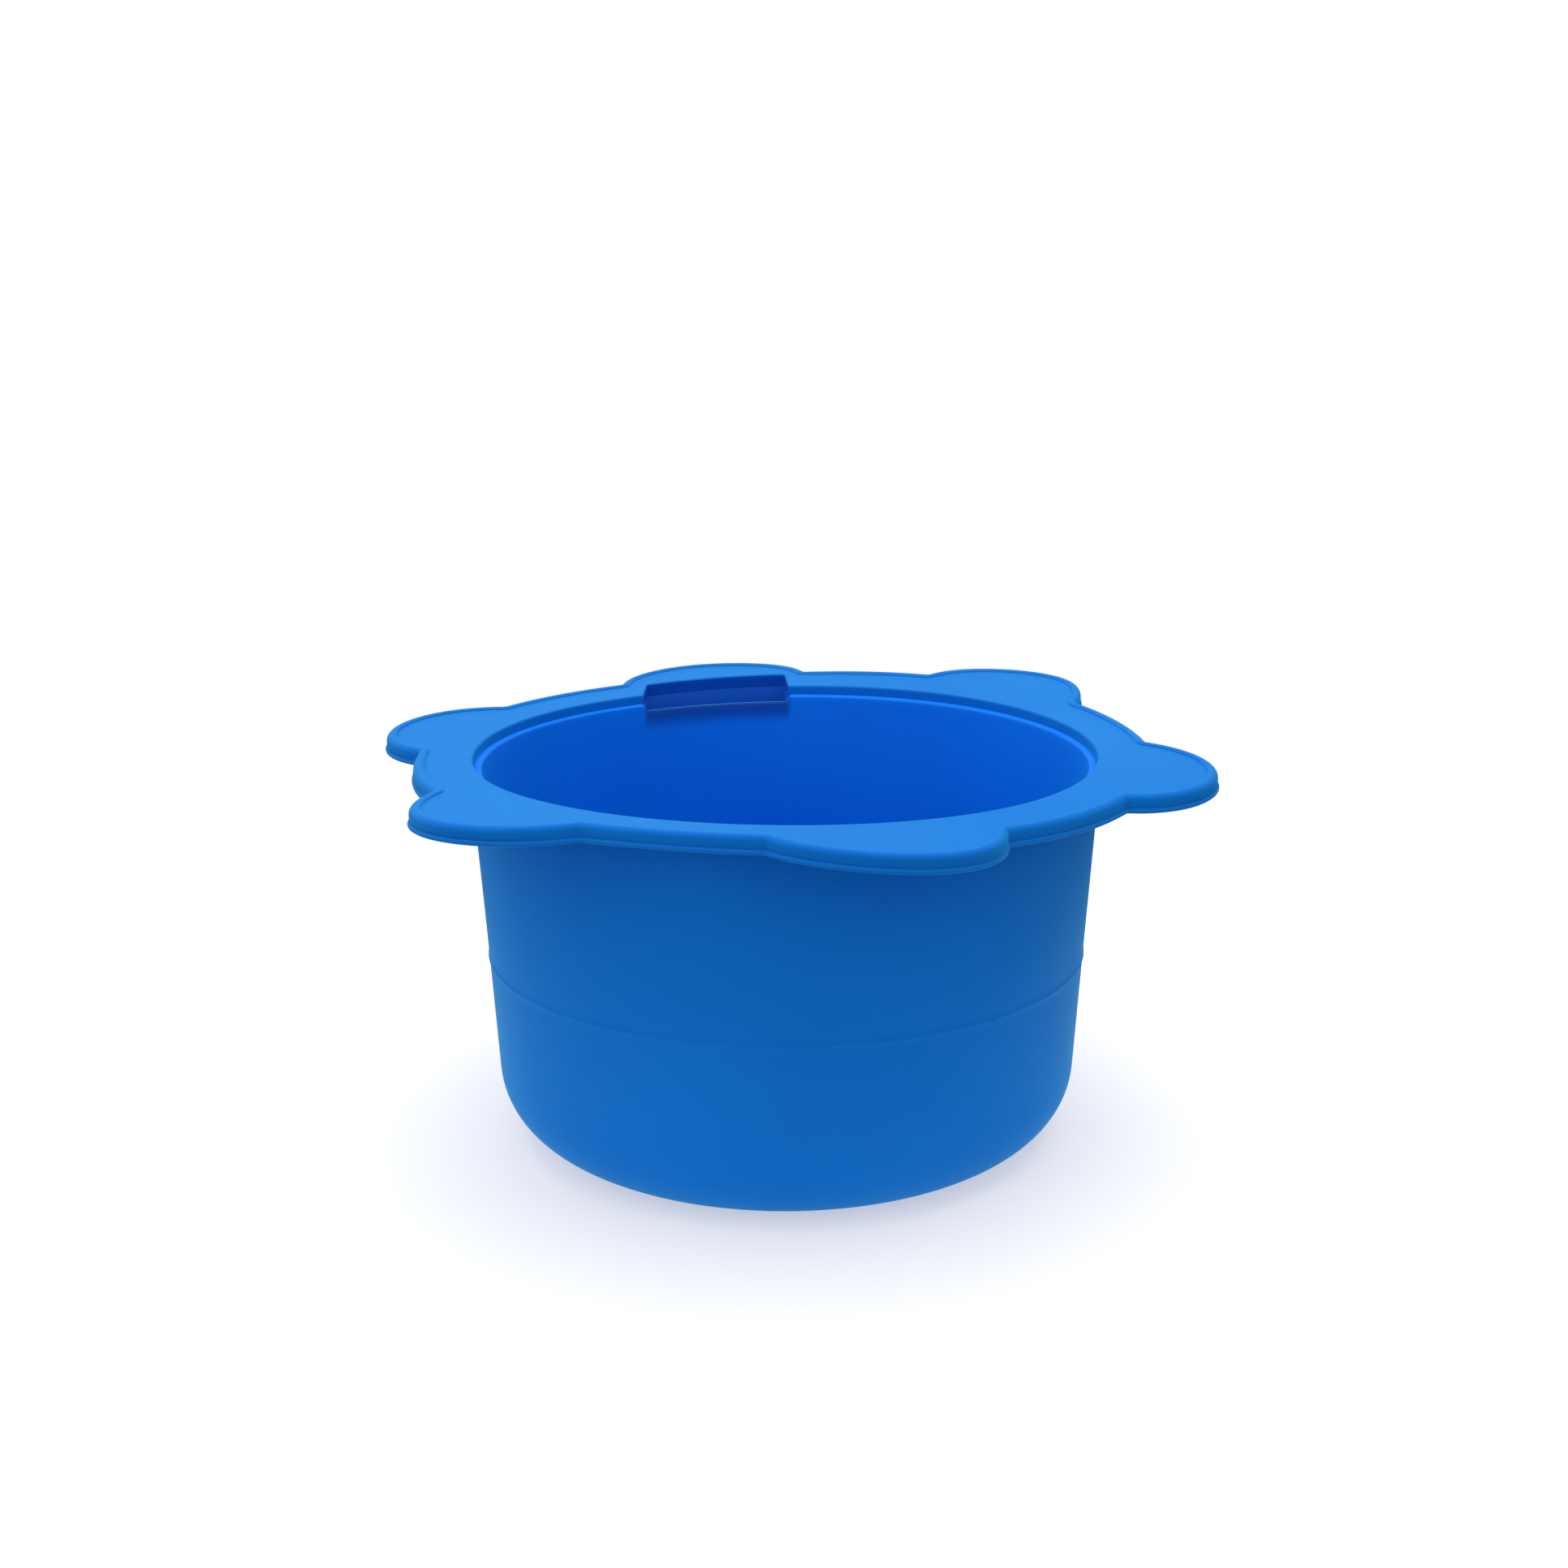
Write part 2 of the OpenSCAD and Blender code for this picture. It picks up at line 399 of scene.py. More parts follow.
def in_notch(k):
    """Whether the faces after column k are inside the notch."""
    return HALF_STEPS - FLANK_END <= k < HALF_STEPS + FLANK_END


def make_rim_ring(material, painted_shade_material):
    """Upper layer of the brim: upright outer side, raised bead, flat top, mouth edge, notch."""
    side_z = TOP_Z - 0.6                            # the outer side's upright part ends here
    crest_in, foot_in = 1.0, 1.7                    # insets of the bead's crest and inner foot
    rows = [brim_row(0.3, RING_Z - 0.02), brim_row(0.05, RING_Z), brim_row(0, RING_Z + 0.05),
            brim_row(0, RING_Z + 0.6), brim_row(0, side_z)]
    rows += [brim_row(crest_in * (1 - cosd(t)), side_z + (CREST_Z - side_z) * sind(t))
             for t in quarter(8)]
    rows += [brim_row(crest_in + (foot_in - crest_in) * sind(t),
                      TOP_Z + (CREST_Z - TOP_Z) * cosd(t)) for t in quarter(6)]
    rows += [brim_row(foot_in + 0.12, TOP_Z - 0.03), brim_row(BEAD_W + 0.1, TOP_Z)]
    flat_out, flat_in = brim_row(BEAD_W + 0.35, TOP_Z), mouth_row(0.55, TOP_Z)
    rows += [flat_out] + between(flat_out, flat_in, 6) + [flat_in]
    edge = 0.35
    rows += [mouth_row(edge * (1 - sind(t)), TOP_Z - edge * (1 - cosd(t)))
             for t in [0] + quarter(5)]
    wall_top = len(rows) - 2
    rows += [mouth_row(0, RING_Z + 0.6), mouth_row(0, RING_Z + 0.08),
             mouth_row(0, RING_Z + 0.02), mouth_row(0.3, RING_Z - 0.02)]
    rows += between(rows[-1], rows[0], 3)
    bm = bmesh.new()
    # The mouth edge's faces inside the notch take the second material, painted shade for the recess.
    add_rows(bm, [[relaxed(p) for p in row] for row in rows], closed=True,
             look=lambda level, k: int(level >= wall_top and in_notch(k)))
    return finish_piece(bm, "rim_ring_soft", "cup", [material, painted_shade_material], "cup_silicone",
                        "rim_ring")


def make_lower_brim(material, painted_shade_material):
    """Lower layer of the brim: a fillet at the wall, a flat underside, and a lip whose bevel
    shows as a light line under the rim ring."""
    root = 1.4
    rows = [outside_row(-0.15, UNDER_Z - root - 0.1)]
    rows += [outside_row(root * (1 - cosd(t)), UNDER_Z - root * (1 - sind(t)))
             for t in [0] + quarter(6)]
    under = brim_row(1.2, UNDER_Z)
    rows += between(rows[-1], under, 5) + [under]
    rows += [brim_row(0.35, UNDER_Z), brim_row(0.0, UNDER_Z + 0.06),
             brim_row(-0.8 * LIP, UNDER_Z + 0.2), brim_row(-LIP, UNDER_Z + 0.38),
             brim_row(-LIP, RING_Z - 0.36), brim_row(-0.85 * LIP, RING_Z - 0.27),
             brim_row(-0.1 * LIP, RING_Z), brim_row(0.02, RING_Z + 0.03)]
    rim = [mouth_row(0, RING_Z + 0.02)[k] if share > 0.5 else mouth_row(0.3, RING_Z - 0.02)[k]
           for k, share in enumerate(NOTCH_SHARE)]
    hidden = brim_row(0.35, RING_Z - 0.03)
    rows += [hidden] + between(hidden, rim, 3) + [rim]
    inner_top = len(rows) - 1
    rows += [[(x, y, z) for x, y, _ in rim] for z in (RING_Z - 0.06, UNDER_Z + 0.06, UNDER_Z)]
    bm = bmesh.new()
    # The inner faces inside the notch take the second material, painted shade for the recess.
    add_rows(bm, [[relaxed(p) for p in row] for row in rows], closed=True,
             look=lambda level, k: int(level >= inner_top and in_notch(k)))
    return finish_piece(bm, "lower_brim_soft", "cup", [material, painted_shade_material], "cup_silicone",
                        "lower_brim")


def dipped(row):
    """Takes the wall's top down inside the notch."""
    start = DIP_Z - 2.0
    full = RING_Z - start
    result = []
    for (x, y, z), share in zip(row, NOTCH_SHARE):
        if z > start:
            z = start + (z - start) * (1 - smooth(share) * (RING_Z - DIP_Z) / full)
        result.append((x, y, z))
    return result


def outer_rows():
    """The cup's flat base, its round bottom edge, and the leaning wall with its faint line."""
    mid_r = wall_r(BASE_ROUND) - BASE_ROUND / cosd(DRAFT)
    steps, wall_step = 24, 1.5
    rows = [[(0, 0, 0)], round_row(3, 0), round_row(12, 0), round_row(24, 0)]
    rows += [round_row(mid_r + BASE_ROUND * sind(t), BASE_ROUND * (1 - cosd(t)))
             for t in [(90 - DRAFT) * k / steps for k in range(steps + 1)]]
    heights = [BASE_ROUND + 0.6 + wall_step * k for k in range(60)]
    heights = [z for z in heights if abs(z - LINE_Z) > 1.6 and z < RING_Z - 0.8]
    heights += [LINE_Z + 0.2 * k for k in range(-7, 8)]
    for z in sorted(heights):
        ridge = LINE_H * math.exp(-((z - LINE_Z) / LINE_W) ** 2)
        rows.append(round_row(wall_r(z) + ridge, z))
    return rows + [round_row(wall_r(RING_Z) - 0.05, RING_Z - 0.15),
                   round_row(wall_r(RING_Z) - 0.2, RING_Z - 0.03)]


def ledge_rows():
    """The narrow ledge inside the mouth and the wall's rounded inner edge."""
    ledge_r = wall_r(RING_Z, WALL_T)
    edge = 0.4
    rows = [round_row(MOUTH_R + 0.05, RING_Z - 0.02), round_row(MOUTH_R - 0.12, RING_Z + 0.03),
            round_row(MOUTH_R - 0.3, RING_Z), round_row(ledge_r + edge, RING_Z)]
    return rows + [round_row(ledge_r + edge * (1 - sind(t)), RING_Z - edge * (1 - cosd(t)))
                   for t in quarter(4)]


def leaning_rows(inset, high, low, step):
    """The wall's inside from a height downwards, at one inset."""
    rows = []
    z = high
    while z > low:
        rows.append(round_row(wall_r(z, inset), z))
        z -= step
    return rows


def seat_rows():
    """The seat that carries the insert: a flat step with its corners eased."""
    outer_r = wall_r(SEAT_Z, WALL_T)
    inner_r = wall_r(SEAT_Z, WALL_T + SEAT_W)
    return [round_row(outer_r, SEAT_Z + 0.3), round_row(outer_r - 0.1, SEAT_Z + 0.05),
            round_row(outer_r - 0.3, SEAT_Z), round_row(inner_r + 0.3, SEAT_Z),
            round_row(inner_r + 0.1, SEAT_Z - 0.05), round_row(inner_r, SEAT_Z - 0.3)]


def inner_base_rows():
    """The cup's inside below the seat: wall, round edge and floor."""
    inset = WALL_T + SEAT_W
    rounding = BASE_ROUND - inset
    mid_z = CUP_FLOOR_Z + rounding
    mid_r = wall_r(mid_z, inset) - rounding / cosd(DRAFT)
    steps = 12
    rows = leaning_rows(inset, SEAT_Z - 1.5, mid_z + 0.6, 2.0)
    rows += [round_row(mid_r + rounding * cosd(t), mid_z - rounding * sind(t))
             for t in [DRAFT + (90 - DRAFT) * k / steps for k in range(steps + 1)]]
    return rows + [round_row(20, CUP_FLOOR_Z), round_row(6, CUP_FLOOR_Z), [(0, 0, CUP_FLOOR_Z)]]


def make_cup_shell(material, inside_painted_light_material, notch_edge_painted_shade_material):
    """Wall, base, ledge, seat and floor of the cup, dipped inside the notch. The inside gets a
    lighter material as painted light for light through the wall, and the wall's top edge in the
    notch a darker one as painted shade.
    """
    rows = outer_rows()
    ledge = len(rows)
    rows += ledge_rows()
    wall_top = len(rows) - 1
    rows += leaning_rows(WALL_T, RING_Z - 1.2, SEAT_Z + 0.6, 1.5) + seat_rows()
    rows += inner_base_rows()

    # Material 0 outside, 1 the inside with its painted light, 2 the wall's top edge inside the notch
    # with painted shade.
    def look(level, k):
        if ledge <= level < wall_top and in_notch(k):
            return 2
        return int(level >= ledge)

    bm = bmesh.new()
    add_rows(bm, [[relaxed(p) for p in dipped(row)] if len(row) > 1 else row for row in rows],
             look=look)
    return finish_piece(bm, "cup_shell_soft", "cup", [material, inside_painted_light_material, notch_edge_painted_shade_material],
                        "cup_silicone", "cup_shell")


def make_finger_pocket(material, painted_shade_material):
    """The pocket that hangs under the notch: a floor and three walls, open to the mouth."""
    root_r = wall_r(POCKET_Z) - 0.3
    fillet = 0.7
    low_z = POCKET_LOW.z
    sections = []
    for k in range(HALF_STEPS - FLANK_END, HALF_STEPS + FLANK_END + 1):
        x, y, nx, ny = MOUTH[k]
        a = COLUMNS[k]
        root = (root_r * math.cos(a), root_r * math.sin(a))
        inward = min(fillet, 0.8 * math.hypot(x - root[0], y - root[1]))
        section = [(*root, POCKET_Z - 0.02)]
        section += [(x - nx * inward * (1 - sind(t)), y - ny * inward * (1 - sind(t)),
                     POCKET_Z + fillet * (1 - cosd(t))) for t in [0] + quarter(4)]
        section += [(x, y, UNDER_Z + 0.02)]
        outside = len(section) - 1
        out = POCKET_WALL
        section += [(x + nx * out, y + ny * out, UNDER_Z - 0.02),
                    (x + nx * out, y + ny * out, low_z + out)]
        section += [(x + nx * out * cosd(t), y + ny * out * cosd(t), low_z + out * (1 - sind(t)))
                    for t in quarter(4)]
        section += [(*root, low_z)]
        sections.append([relaxed(p) for p in section])
    bm = bmesh.new()
    # The pocket's inner faces take the second material, painted shade for the recess; its outside
    # keeps the cup's blue.
    add_bar(bm, sections, look=lambda level, k: int(k < outside))
    return finish_piece(bm, "finger_pocket_soft", "cup", [material, painted_shade_material],
                        "cup_silicone", "finger_pocket")


def section_rows(corners, rounding, steps=3):
    """Rows of a turned ring whose section has these (radius, z) corners, each one rounded."""
    rows = []
    count = len(corners)
    for k, corner in enumerate(corners):
        here = Vector(corner)
        before = (Vector(corners[k - 1]) - here).normalized() * rounding
        after = (Vector(corners[(k + 1) % count]) - here).normalized() * rounding
        for j in range(steps + 1):
            t = j / steps
            p = here + before * (1 - t) ** 2 + after * t ** 2
            rows.append(even_row(p.x, p.y))
        middle = (here + after + Vector(corners[(k + 1) % count])) / 2
        rows.append(even_row(middle.x, middle.y))
    return rows


def make_collar(material):
    outer = COLLAR_HIGH.x
    inner = outer - COLLAR_W
    low, high = COLLAR_LOW.z, COLLAR_HIGH.z
    bm = bmesh.new()
    add_rows(bm, section_rows([(inner, low), (outer, low), (outer, high), (inner, high)], 0.5),
             closed=True)
    return finish_piece(bm, "insert_collar_soft", "insert", material, "insert_silicone",
                        "insert_collar")


def band_corners(outer_in, inner_in, low, high):
    return [(wall_r(low, inner_in), low), (wall_r(low, outer_in), low),
            (wall_r(high, outer_in), high), (wall_r(high, inner_in), high)]


def make_sleeve(material):
    bm = bmesh.new()
    corners = band_corners(INSERT_IN, BRISTLES_IN, SLEEVE_LOW.z, SLEEVE_HIGH.z)
    add_rows(bm, section_rows(corners, 0.12), closed=True)
    return finish_piece(bm, "insert_sleeve_soft", "insert", material, "insert_silicone",
                        "insert_sleeve")


def loose_object(bm, name):
    """Moves a bmesh into an object of its own."""
    bmesh.ops.recalc_face_normals(bm, faces=bm.faces)
    mesh = bpy.data.meshes.new(name)
    bm.to_mesh(mesh)
    bm.free()
    result = bpy.data.objects.new(name, mesh)
    bpy.context.scene.collection.objects.link(result)
    return result


def drain_pins(low, high):
    """A bmesh with one upright pin for each drain hole."""
    sides, past = 24, 1.0
    pins = bmesh.new()
    for k in range(DRAINS):
        a = 360 * k / DRAINS
        x, y = DRAIN_RING_R * cosd(a), DRAIN_RING_R * sind(a)
        side = [[(x + DRAIN_R * cosd(360 * j / sides), y + DRAIN_R * sind(360 * j / sides), z)
                 for j in range(sides)] for z in (low - past, high + past)]
        add_rows(pins, [[(x, y, low - past)]] + side + [[(x, y, high + past)]])
    return pins


def cut_drains(bm, low, high):
    """Cuts the drain holes through a bmesh that is flat between low and high."""
    body = loose_object(bm, "drain_body")
    pins = loose_object(drain_pins(low, high), "drain_cut")
    boolean = body.modifiers.new("drains", "BOOLEAN")
    boolean.operation = "DIFFERENCE"
    boolean.solver = "EXACT"
    boolean.object = pins
    bpy.context.view_layer.update()
    evaluated = body.evaluated_get(bpy.context.evaluated_depsgraph_get())
    result = bmesh.new()
    result.from_mesh(evaluated.to_mesh())
    for piece in (body, pins):
        bpy.data.objects.remove(piece)
    return result


def make_floor(material):
    """The insert's flat floor, with its drain holes."""
    low, high = FLOOR_LOW.z, FLOOR_HIGH.z
    low_r, high_r = wall_r(low, BRISTLES_IN), wall_r(high, BRISTLES_IN)
    rows = [[(0, 0, low)], even_row(8, low), even_row(18, low), even_row(low_r - 0.3, low),
            even_row(low_r, low + 0.05), even_row(high_r, high - 0.05),
            even_row(high_r - 0.3, high), even_row(18, high), even_row(8, high), [(0, 0, high)]]
    bm = bmesh.new()
    add_rows(bm, rows)
    bm = cut_drains(bm, low, high)
    return finish_piece(bm, "insert_floor_soft", "insert", material, "insert_silicone",
                        "insert_floor")


def add_bristle(bm, root, direction, length, dice):
    """A soft tapered bristle with a flared root and a round tip, bent a little by chance."""
    direction = Vector(direction).normalized()
    side = direction.orthogonal().normalized()
    other = direction.cross(side)
    stray = 0.5
    bend = side * dice.uniform(-stray, stray) + other * dice.uniform(-stray, stray)
    profile = [(-0.45, BRISTLE_ROOT_R + 0.35), (0.0, BRISTLE_ROOT_R + 0.3),
               (0.12, BRISTLE_ROOT_R + 0.12), (0.4, BRISTLE_ROOT_R)]
    tip = length - BRISTLE_TIP_R
    for k in range(1, 8):
        h = 0.4 + (tip - 0.4) * k / 7
        profile.append((h, BRISTLE_ROOT_R + (BRISTLE_TIP_R - BRISTLE_ROOT_R) * h / tip))
    profile += [(tip + BRISTLE_TIP_R * sind(t), BRISTLE_TIP_R * cosd(t)) for t in (22, 44, 66)]
    rows = []
    for h, r in profile:
        centre = Vector(root) + direction * h + bend * max(0.0, h / length) ** 2
        rows.append([tuple(centre + (side * cosd(22.5 * k) + other * sind(22.5 * k)) * r)
                     for k in range(16)])
    first = Vector(root) + direction * profile[0][0]
    last = Vector(root) + direction * length + bend
    add_rows(bm, [[tuple(first)]] + rows + [[tuple(last)]])


def make_bristle_ring(node, level, turn, material, dice):
    """One ring of bristles that stand square on the sleeve's inside and point at the axis."""
    low = FLOOR_HIGH.z
    root_z = low + (level + 0.5) * (SLEEVE_HIGH.z - low) / WALL_RINGS
    root_r = wall_r(root_z, BRISTLES_IN)
    bm = bmesh.new()
    for k in range(RING_BRISTLES):
        a = turn + 360 * k / RING_BRISTLES
        add_bristle(bm, (root_r * cosd(a), root_r * sind(a), root_z),
                    (-cosd(a) * cosd(DRAFT), -sind(a) * cosd(DRAFT), sind(DRAFT)),
                    WALL_BRISTLE_L, dice)
    return finish_piece(bm, node + "_soft", "insert", material, "bristle_silicone", node)


def make_floor_bristles(material, dice):
    """A round mat with upright bristles in rings, and drain holes between them."""
    low = MAT_LOW.z
    top = low + MAT_T
    edge_r = (MAT_HIGH.x - MAT_LOW.x) / 2
    rows = [[(0, 0, low)], even_row(8, low), even_row(18, low), even_row(edge_r - 0.2, low),
            even_row(edge_r, low + 0.2), even_row(edge_r, top - 0.35),
            even_row(edge_r - 0.1, top - 0.1), even_row(edge_r - 0.35, top),
            even_row(18, top), even_row(8, top), [(0, 0, top)]]
    bm = bmesh.new()
    add_rows(bm, rows)
    bm = cut_drains(bm, low, top)
    length = MAT_HIGH.z - top
    add_bristle(bm, (0, 0, top), (0, 0, 1), length, dice)
    for ring in range(1, FLOOR_RINGS + 1):
        for k in range(6 * ring):
            a = 60 * k / ring
            root = (ring * FLOOR_PITCH * cosd(a), ring * FLOOR_PITCH * sind(a), top)
            add_bristle(bm, root, (0, 0, 1), length, dice)
    return finish_piece(bm, "floor_bristles_soft", "insert", material, "bristle_silicone",
                        "floor_bristles")


def make_lift_tabs(material):
    """Two finger tabs that follow the collar's inner edge."""
    low, high = TABS_LOW.z, TABS_HIGH.z
    inner_r = COLLAR_HIGH.x - COLLAR_W + 0.15
    thick, steps = 1.7, 28
    half_w = TABS_HIGH.y
    bm = bmesh.new()
    for side in (0, 180):
        sections = []
        for k in range(steps + 1):
            u = -1 + 2 * k / steps
            top = high - (high - low - 0.6) * (1 - math.sqrt(max(0.0, 1 - abs(u) ** 3)))
            shoulder = low + 0.3 * (top - low)
            profile = [(0, low - 0.2), (0, shoulder), (0, top - 0.4), (0.15, top - 0.12),
                       (0.5, top), (thick - 0.5, top), (thick - 0.15, top - 0.12),
                       (thick, top - 0.4), (thick, shoulder), (thick, low - 0.2)]
            a = side + math.degrees(half_w * u / inner_r)
            sections.append([((inner_r + r) * cosd(a), (inner_r + r) * sind(a), z)
                             for r, z in profile])
        add_bar(bm, sections)
    return finish_piece(bm, "lift_tabs_soft", "insert", material, "insert_silicone", "lift_tabs")


# ---------------------------------------------------------------- materials
CLOUD_SCALE, GLOSS_SCALE, SKIN_SCALE = 38, 900, 4200    # noise cells per metre
SKIN_DEPTH = 0.04
SPECULAR_LEVEL = 0.11
SHEEN_TINT = (0.0, 0.80, 0.85, 1)


def axes(tree, coordinates):
    """The X, Y and Z outputs of one kind of texture coordinates."""
    place = tree.nodes.new("ShaderNodeTexCoord")
    split = tree.nodes.new("ShaderNodeSeparateXYZ")
    tree.links.new(place.outputs[coordinates], split.inputs["Vector"])
    return split.outputs


def ramp(tree, value, start, end, low=0.0, high=1.0, interpolation="LINEAR"):
    """Goes from low, where value is start, to high, where it is end."""
    node = tree.nodes.new("ShaderNodeMapRange")
    node.interpolation_type = interpolation
    node.inputs["From Min"].default_value = start
    node.inputs["From Max"].default_value = end
    node.inputs["To Min"].default_value = low
    node.inputs["To Max"].default_value = high
    tree.links.new(value, node.inputs["Value"])
    return node.outputs["Result"]


def product(tree, first, second):
    node = tree.nodes.new("ShaderNodeMath")
    node.operation = "MULTIPLY"
    tree.links.new(first, node.inputs[0])
    tree.links.new(second, node.inputs[1])
    return node.outputs["Value"]


def shade_below_notch(material, shade):
    """Paints shade into a material: fades it darker on the wall just under the notch, as painted
    shade for the recess above.
    """
    tree = material.node_tree
    shader = tree.nodes["Principled BSDF"]
    colour = shader.inputs["Base Color"].links[0].from_socket
    place = axes(tree, "Object")

    def fade(axis, start, end):
        return ramp(tree, place[axis], start * MM, end * MM, interpolation="SMOOTHSTEP")

    middle = MOUTH_R * sind(NOTCH_TURN) + 0.3
    outside, inside = NOTCH_HALF_W + 0.8, NOTCH_HALF_W - 0.6
    across = product(tree, fade("X", middle - outside, middle - inside),
                     fade("X", middle + outside, middle + inside))
    upwards = product(tree, fade("Z", DIP_Z - 4.5, DIP_Z - 1.2), fade("Y", 30.0, 40.0))
    mix = tree.nodes.new("ShaderNodeMixRGB")
    tree.links.new(product(tree, across, upwards), mix.inputs["Fac"])
    tree.links.new(colour, mix.inputs["Color1"])
    mix.inputs["Color2"].default_value = (*shade, 1)
    tree.links.new(mix.outputs["Color"], shader.inputs["Base Color"])


def silicone(name, colour, deep_colour, roughness, sheen=0.3):
    """Matte silicone: slight clouding of its colour, a fine skin, and a soft sheen."""
    material = bpy.data.materials.new(name)
    material.use_nodes = True
    nodes, links = material.node_tree.nodes, material.node_tree.links
    shader = nodes["Principled BSDF"]
    place = nodes.new("ShaderNodeTexCoord")

    def noise(scale, detail):
        node = nodes.new("ShaderNodeTexNoise")
        node.inputs["Scale"].default_value = scale
        node.inputs["Detail"].default_value = detail
        links.new(place.outputs["Object"], node.inputs["Vector"])
        return node.outputs["Fac"]

    clouds = nodes.new("ShaderNodeValToRGB")
    clouds.color_ramp.elements[0].position = 0.35
    clouds.color_ramp.elements[0].color = (*deep_colour, 1)
    clouds.color_ramp.elements[1].position = 0.65
    clouds.color_ramp.elements[1].color = (*colour, 1)
    links.new(noise(CLOUD_SCALE, 3), clouds.inputs["Fac"])
    links.new(clouds.outputs["Color"], shader.inputs["Base Color"])

    gloss = nodes.new("ShaderNodeMapRange")
    gloss.inputs["To Min"].default_value = roughness - 0.04
    gloss.inputs["To Max"].default_value = roughness + 0.05
    links.new(noise(GLOSS_SCALE, 4), gloss.inputs["Value"])
    links.new(gloss.outputs["Result"], shader.inputs["Roughness"])

    bump = nodes.new("ShaderNodeBump")
    bump.inputs["Strength"].default_value = 0.25
    bump.inputs["Distance"].default_value = SKIN_DEPTH * MM
    links.new(noise(SKIN_SCALE, 3), bump.inputs["Height"])
    links.new(bump.outputs["Normal"], shader.inputs["Normal"])
    shader.inputs["IOR"].default_value = 1.41
    shader.inputs["Specular IOR Level"].default_value = SPECULAR_LEVEL
    shader.inputs["Sheen Weight"].default_value = sheen
    shader.inputs["Sheen Roughness"].default_value = 0.45
    shader.inputs["Sheen Tint"].default_value = SHEEN_TINT
    return material


def plain(name, grey, roughness, glow):
    """An even grey that also glows white a little."""
    material = bpy.data.materials.new(name)
    material.use_nodes = True
    shader = material.node_tree.nodes["Principled BSDF"]
    shader.inputs["Base Color"].default_value = (grey, grey, grey, 1)
    shader.inputs["Roughness"].default_value = roughness
    shader.inputs["Specular IOR Level"].default_value = 0.1
    shader.inputs["Emission Color"].default_value = (1, 1, 1, 1)
    shader.inputs["Emission Strength"].default_value = glow
    return material


# ---------------------------------------------------------------- camera, floor and light
def make_camera():
    """Looks down on the cup from in front, a little left of the ear opposite the notch."""
    distance = 300.0
    azimuth, elevation, pitch, roll = -15.0, 12.43, 13.79, 0.2
    middle = Vector((0, 0, CREST_Z))
    back = Vector((sind(azimuth) * cosd(elevation), -cosd(azimuth) * cosd(elevation),
                   sind(elevation)))
    data = bpy.data.cameras.new("camera")
    data.sensor_width = 36.0
    data.lens = 42.82
    data.clip_start = 0.01
    camera = bpy.data.objects.new("camera", data)
    camera.location = (middle + back * distance) * MM
    camera.rotation_euler = (math.radians(90 - pitch), math.radians(roll), math.radians(azimuth))
    bpy.context.scene.collection.objects.link(camera)
    bpy.context.scene.camera = camera


def make_table_top():
    """A pale round table top. The camera sees its white surround go on past its edge."""
    reach, columns = 130.0, 96
    corners = [tuple(c * MM for c in corner) for corner in even_row(reach, 0, columns)]
    mesh = bpy.data.meshes.new("floor")
    mesh.from_pydata(corners, [], [range(columns)])
    mesh.materials.append(plain("pale_floor", 0.52, 0.9, 0.48))
    floor = bpy.data.objects.new("floor", mesh)
    bpy.context.scene.collection.objects.link(floor)


def make_sun():
    """A broad soft light from above."""
    data = bpy.data.lights.new("overhead", "SUN")
    data.energy = 1.8
    data.angle = math.radians(60)
    light = bpy.data.objects.new("overhead", data)
    light.rotation_euler = (math.radians(-8), math.radians(5), 0)
    bpy.context.scene.collection.objects.link(light)


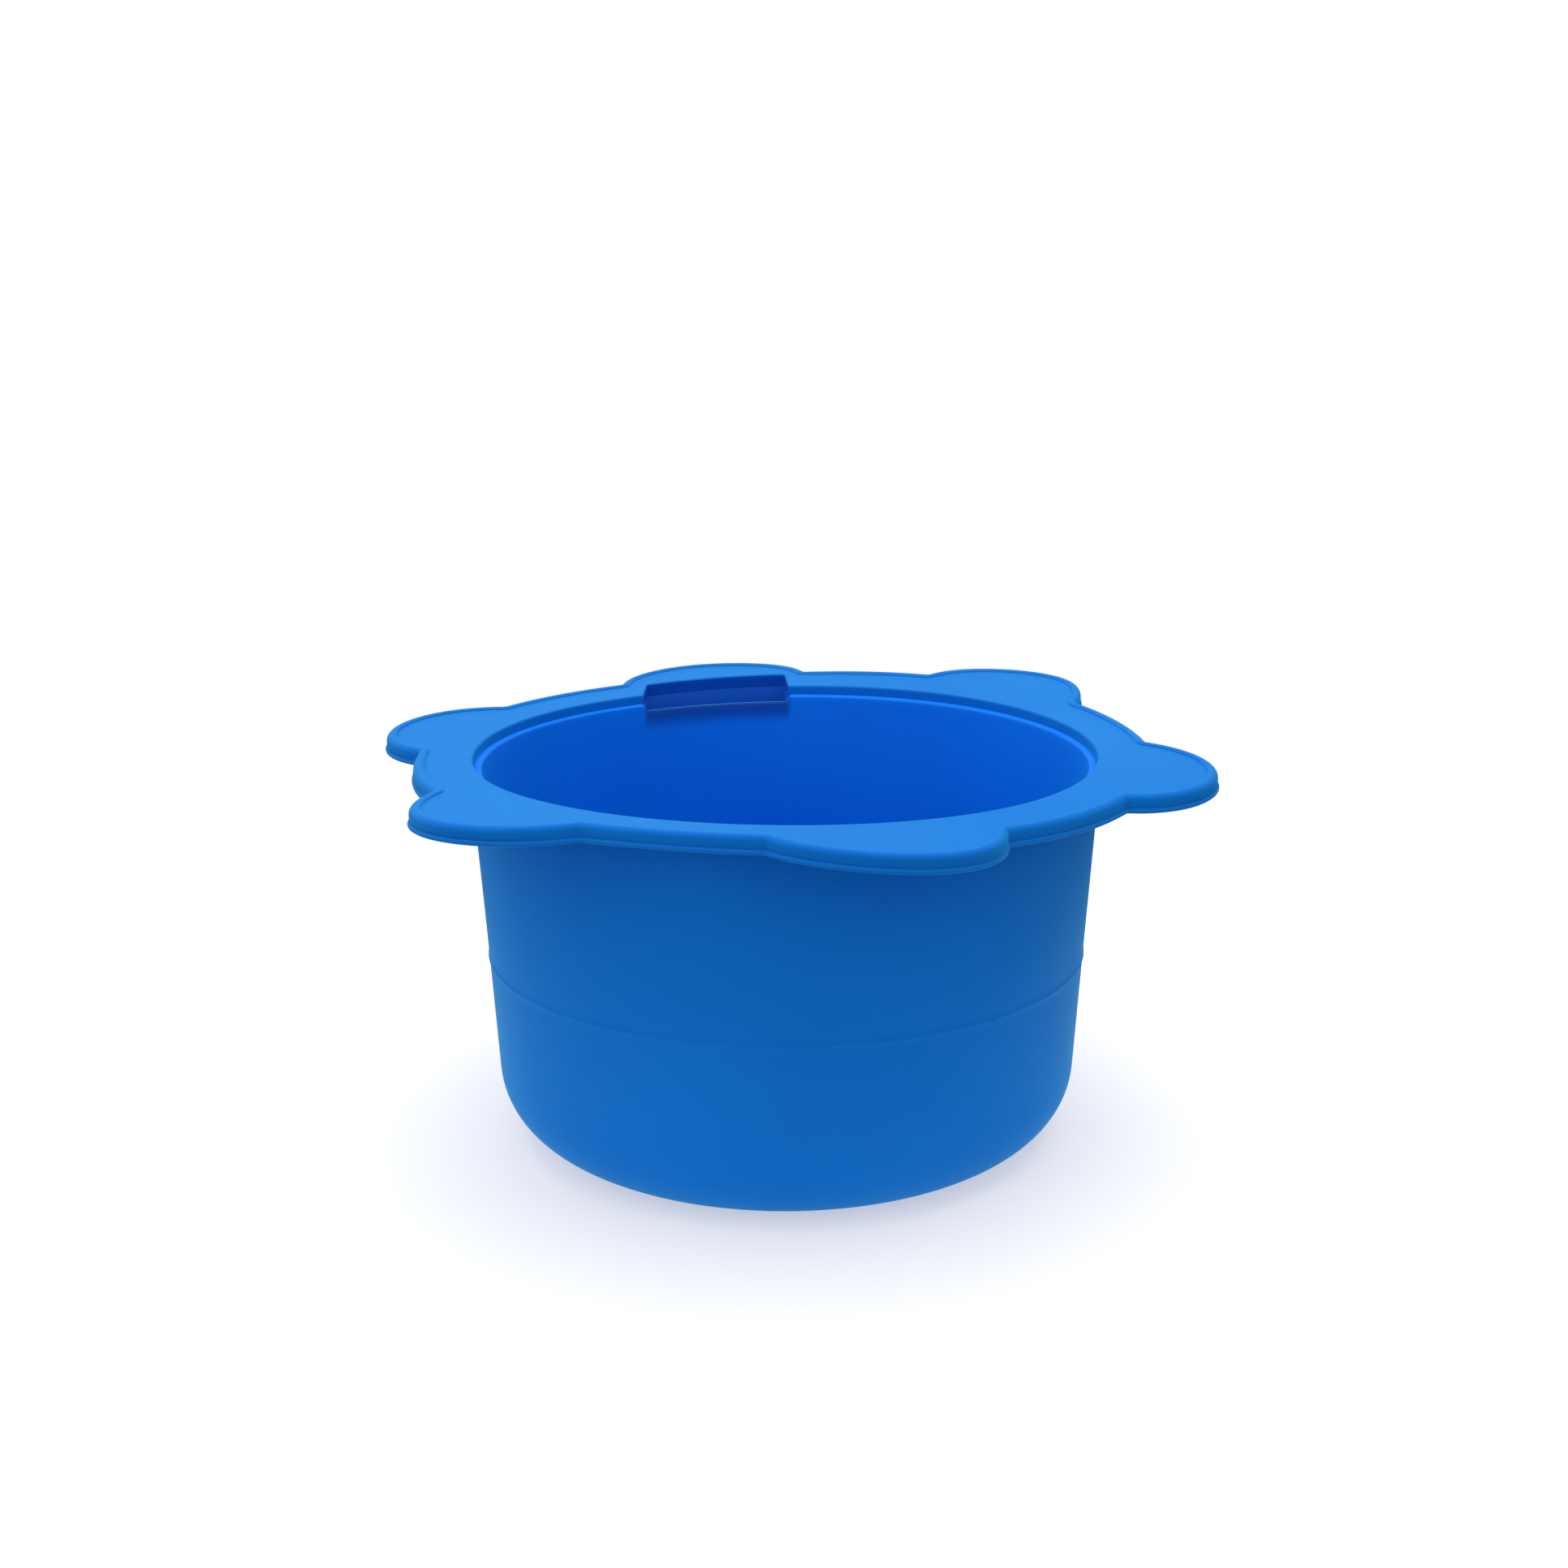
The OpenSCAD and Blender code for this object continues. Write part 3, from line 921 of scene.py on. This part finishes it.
def make_surround():
    """Pale surround that lights the cup more from the left and little from below. Seen
    directly it is an even white."""
    world = bpy.data.worlds.new("studio")
    world.use_nodes = True
    tree = world.node_tree
    direction = axes(tree, "Generated")
    strength = product(tree, ramp(tree, direction["X"], -1.0, 1.0, 1.15, 0.65),
                       ramp(tree, direction["Z"], -0.1, 0.1, 0.2, 1.0))
    surround = tree.nodes["Background"]
    surround.inputs["Color"].default_value = (1, 1, 1, 1)
    tree.links.new(strength, surround.inputs["Strength"])
    backdrop = tree.nodes.new("ShaderNodeBackground")
    backdrop.inputs["Color"].default_value = (1, 1, 1, 1)
    path = tree.nodes.new("ShaderNodeLightPath")
    mix = tree.nodes.new("ShaderNodeMixShader")
    tree.links.new(path.outputs["Is Camera Ray"], mix.inputs["Fac"])
    tree.links.new(surround.outputs["Background"], mix.inputs[1])
    tree.links.new(backdrop.outputs["Background"], mix.inputs[2])
    tree.links.new(mix.outputs["Shader"], tree.nodes["World Output"].inputs["Surface"])
    bpy.context.scene.world = world


# ---------------------------------------------------------------- the object
cup_blue = silicone("cup_silicone", (0.0, 0.142, 0.550), (0.0, 0.134, 0.530), 0.62, 0.2)
# Painted light: a lighter copy of the cup's silicone for the cup's inside, standing in for light
# that comes through the thin wall.
inside_painted_light_blue = silicone("cup_silicone_inside_painted_light", (0.0, 0.165, 0.78), (0.0, 0.155, 0.75), 0.6, 0.1)
# Painted shade: a darker copy of the cup's silicone for the faces in and round the notch, standing
# in for the shadow in the recess.
notch_painted_shade_blue = silicone("cup_silicone_painted_notch_shade", (0.0, 0.068, 0.44), (0.0, 0.062, 0.42), 0.6, 0.0)
# Painted shade on the inside just under the notch.
shade_below_notch(inside_painted_light_blue, (0.0, 0.060, 0.37))
# Painted shade: a still darker copy for the wall's top edge inside the notch, hiding the light that
# edge would catch.
notch_edge_painted_shade_blue = silicone("cup_silicone_painted_notch_edge_shade", (0.0, 0.034, 0.22), (0.0, 0.030, 0.20), 0.8, 0.0)
insert_blue = silicone("insert_silicone", (0.01, 0.16, 0.50), (0.008, 0.15, 0.47), 0.5)
bristle_blue = silicone("bristle_silicone", (0.03, 0.24, 0.60), (0.025, 0.22, 0.57), 0.48)

make_camera()
make_rim_ring(cup_blue, notch_painted_shade_blue)
make_lower_brim(cup_blue, notch_painted_shade_blue)
make_cup_shell(cup_blue, inside_painted_light_blue, notch_edge_painted_shade_blue)
make_finger_pocket(cup_blue, notch_painted_shade_blue)
make_collar(insert_blue)
make_sleeve(insert_blue)
make_floor(insert_blue)
chance = random.Random(7)                           # one seeded source for all bristles
for level, node in enumerate(("wall_bristles_low", "wall_bristles_middle", "wall_bristles_top")):
    turn = (level % 2) * 180 / RING_BRISTLES
    make_bristle_ring(node, level, turn, bristle_blue, chance)
make_floor_bristles(bristle_blue, chance)
make_lift_tabs(insert_blue)
make_table_top()
make_sun()
make_surround()

view = bpy.context.scene.view_settings
view.view_transform = "Standard"
view.look = "None"
